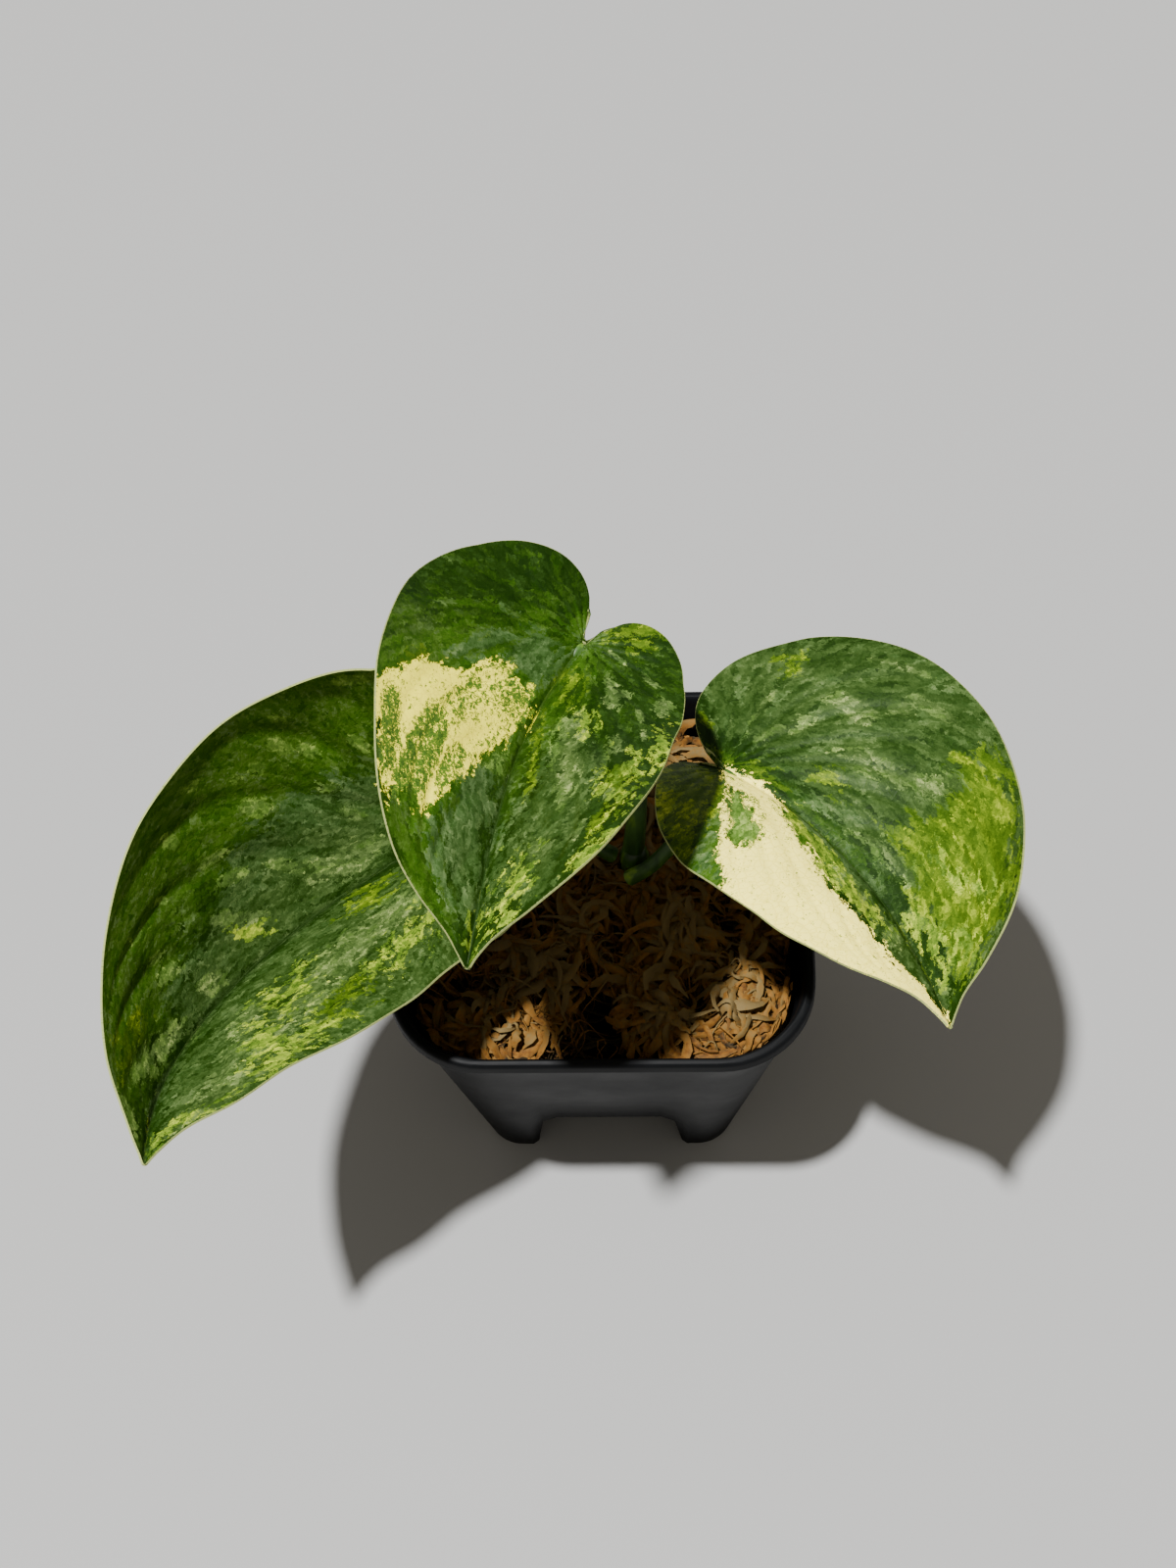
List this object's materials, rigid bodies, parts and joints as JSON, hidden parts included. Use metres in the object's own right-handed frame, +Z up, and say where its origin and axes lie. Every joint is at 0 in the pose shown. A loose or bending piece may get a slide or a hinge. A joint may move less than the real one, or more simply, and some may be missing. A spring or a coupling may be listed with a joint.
{
  "type": "potted pothos",
  "caption": "Young pothos with broad heart-shaped marbled leaves on curved stalks, rooted in dried moss in a small square footed nursery pot.",
  "frame": {"origin": "on the surface the pot stands on, in the middle of the whole plant's overall width and depth", "axes": "+Z up, +X to the viewer's right, and -Y towards the viewer, with the pot's sides along X and Y"},
  "size_m": [0.1486, 0.1068, 0.1574],
  "materials": {
    "black_plastic": "satin moulded plastic",
    "dried_moss": "dry fibrous",
    "green_stem": "smooth satin",
    "marbled_leaf": "satin with cream and sage marbling"
  },
  "bodies": {
    "root": {"pot": "black_plastic", "moss_bed": "dried_moss", "stem": "green_stem", "leaf_left": "marbled_leaf", "leaf_middle": "marbled_leaf", "leaf_right": "marbled_leaf"}
  },
  "joints": []
}
